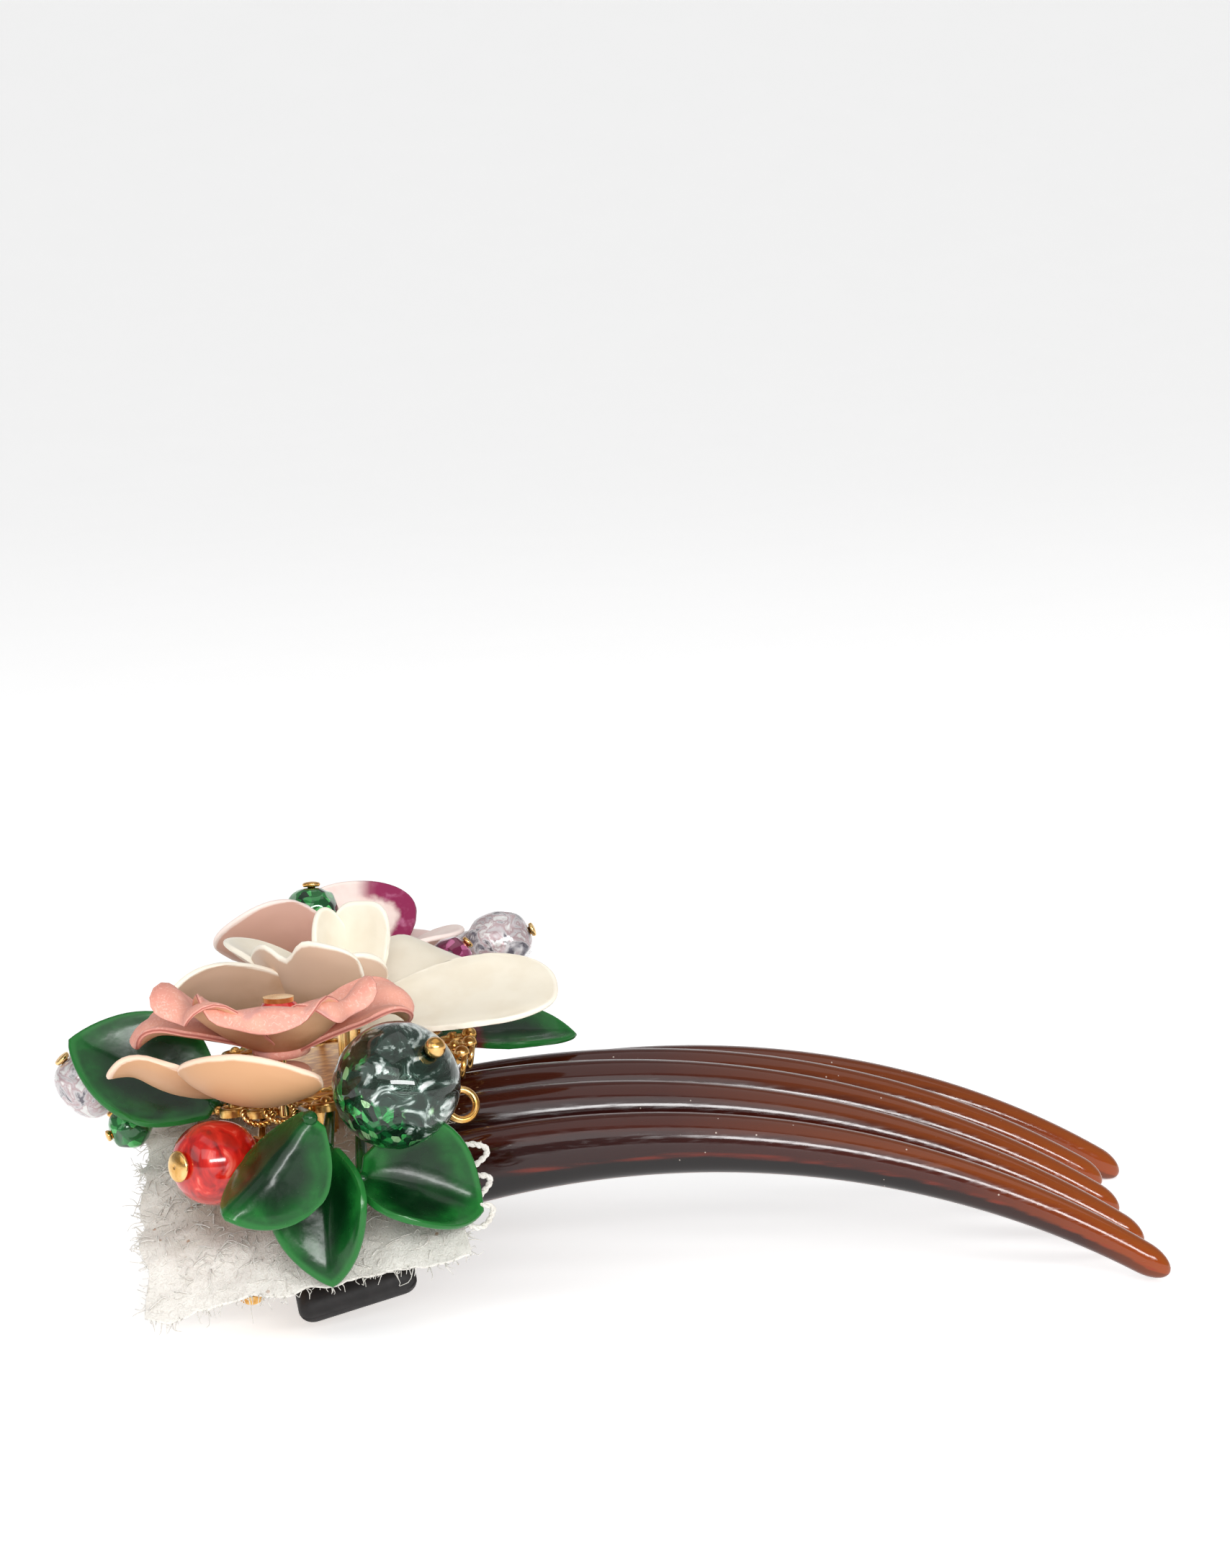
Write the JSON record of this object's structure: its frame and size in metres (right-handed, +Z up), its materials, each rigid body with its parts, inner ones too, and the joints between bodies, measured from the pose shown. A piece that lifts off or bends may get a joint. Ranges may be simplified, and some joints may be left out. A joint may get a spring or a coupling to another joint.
{
  "type": "decorative hair comb",
  "caption": "Side comb with long arched teeth on a sleeved spine, carrying a filigree plate with moulded flowers, leaves, stiff lace and glass beads on head pins",
  "frame": {"origin": "middle of the bounding box in plan, on the surface that the comb lies on", "axes": "+X from the spine towards the tips of the teeth, +Y across the comb away from the side with the red bead, +Z up, away from the surface"},
  "size_m": [0.117, 0.0784, 0.0414],
  "materials": {
    "tortoiseshell": "gloss",
    "black_rubber": "matte",
    "brass": "satin",
    "gold": "polished",
    "lace": "matte",
    "cream_enamel": "satin",
    "coral_enamel": "satin",
    "tan_enamel": "satin",
    "blush_enamel": "satin",
    "leaf_enamel": "gloss",
    "coral_glass": "gloss",
    "crackle_glass": "gloss",
    "clear_glass": "gloss",
    "green_glass": "gloss",
    "fuchsia_glass": "gloss"
  },
  "bodies": {
    "comb_body": {"comb": "tortoiseshell", "spine_sleeve": "black_rubber", "base_plate": "brass", "binding_wires": "brass", "lace_backing": "lace", "lace_edging": "lace", "upper_filigree": "brass", "support_posts": "brass", "cream_flower": "cream_enamel", "cream_flower_rivet": "gold", "coral_flower_upper": "coral_enamel", "coral_flower_lower": "tan_enamel", "coral_flower_bead": "coral_glass", "coral_flower_pin": "gold", "blush_flower": "blush_enamel", "blush_flower_rivet": "gold", "leaf_front_left": "leaf_enamel", "leaf_front_middle": "leaf_enamel", "leaf_front_right": "leaf_enamel", "leaf_side_left": "leaf_enamel", "leaf_back_right": "leaf_enamel", "leaf_back_left": "leaf_enamel", "crackle_pin": "gold", "coral_pin": "gold", "coral_cap": "gold", "clear_side_pin": "gold", "green_side_pin": "gold", "green_back_pin": "gold", "fuchsia_pin": "gold", "clear_back_pin": "gold", "crystal_back_pin": "gold", "twisted_wire": "gold", "jump_ring": "gold"},
    "crackle_bead_body": {"crackle_bead": "crackle_glass"},
    "coral_bead_body": {"coral_bead": "coral_glass"},
    "clear_side_bead_body": {"clear_side_bead": "clear_glass"},
    "green_side_bead_body": {"green_side_bead": "green_glass"},
    "green_back_bead_body": {"green_back_bead": "green_glass"},
    "fuchsia_bead_body": {"fuchsia_bead": "fuchsia_glass"},
    "clear_back_bead_body": {"clear_back_bead": "clear_glass"},
    "crystal_back_bead_body": {"crystal_back_bead": "clear_glass"}
  },
  "joints": [
    {"name": "crackle_spin", "type": "hinge", "parent": "comb_body", "child": "crackle_bead_body", "pos_m": [-0.02102, -0.02686, 0.02601], "axis": [0.6124, -0.4959, 0.6157], "continuous": true},
    {"name": "coral_spin", "type": "hinge", "parent": "comb_body", "child": "coral_bead_body", "pos_m": [-0.03962, -0.02806, 0.01921], "axis": [-0.7518, -0.6536, 0.0872], "continuous": true},
    {"name": "clear_side_spin", "type": "hinge", "parent": "comb_body", "child": "clear_side_bead_body", "pos_m": [-0.05482, -0.00636, 0.02381], "axis": [-0.633, -0.1116, 0.766], "continuous": true},
    {"name": "green_side_spin", "type": "hinge", "parent": "comb_body", "child": "green_side_bead_body", "pos_m": [-0.05022, -0.00936, 0.01961], "axis": [-0.9077, -0.3304, -0.2588], "continuous": true},
    {"name": "green_back_spin", "type": "hinge", "parent": "comb_body", "child": "green_back_bead_body", "pos_m": [-0.03202, 0.02274, 0.03661], "axis": [0, 0.1045, 0.9945], "continuous": true},
    {"name": "fuchsia_spin", "type": "hinge", "parent": "comb_body", "child": "fuchsia_bead_body", "pos_m": [-0.01642, 0.01514, 0.03201], "axis": [0.7544, 0.133, 0.6428], "continuous": true},
    {"name": "clear_back_spin", "type": "hinge", "parent": "comb_body", "child": "clear_back_bead_body", "pos_m": [-0.01142, 0.02214, 0.03221], "axis": [0.9397, 0, 0.342], "continuous": true},
    {"name": "crystal_back_spin", "type": "hinge", "parent": "comb_body", "child": "crystal_back_bead_body", "pos_m": [-0.01482, 0.03214, 0.02901], "axis": [0.6634, 0.5567, 0.5], "continuous": true}
  ]
}
